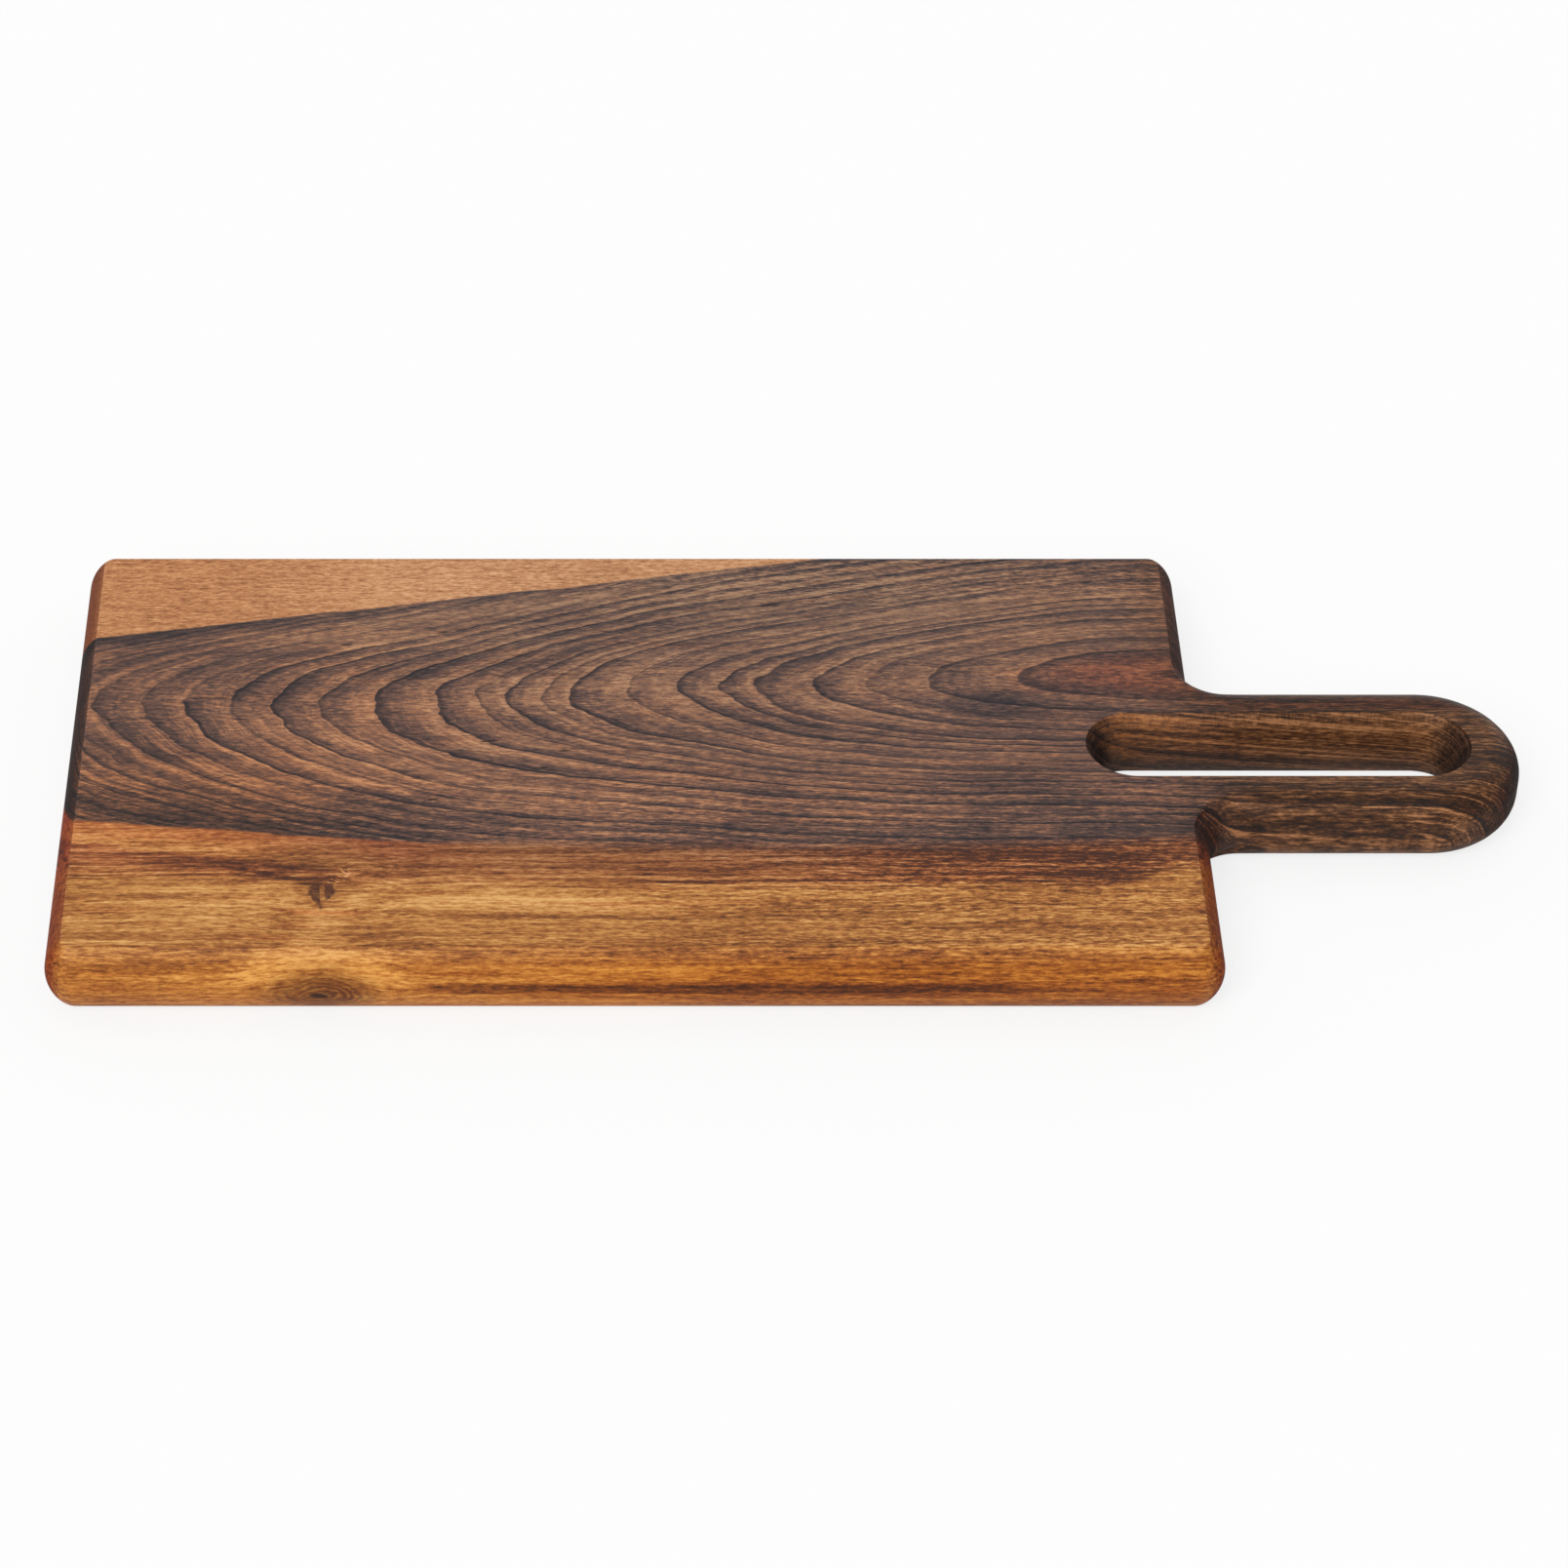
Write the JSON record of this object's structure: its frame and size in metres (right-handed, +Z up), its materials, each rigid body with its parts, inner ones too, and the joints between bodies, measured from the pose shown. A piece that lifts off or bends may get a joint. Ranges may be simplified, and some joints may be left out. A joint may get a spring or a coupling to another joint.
{
  "type": "steak board",
  "caption": "Rectangular wooden steak board with bulging edges and a rounded handle pierced by a long finger slot.",
  "frame": {"origin": "middle of the board's bounding box, on the face that it rests on", "axes": "+X along the grain towards the handle, +Y across the board, +Z up through its thickness"},
  "size_m": [0.385, 0.17, 0.0205],
  "materials": {
    "walnut": "satin oiled"
  },
  "bodies": {
    "root": {"board": "walnut"}
  },
  "joints": []
}
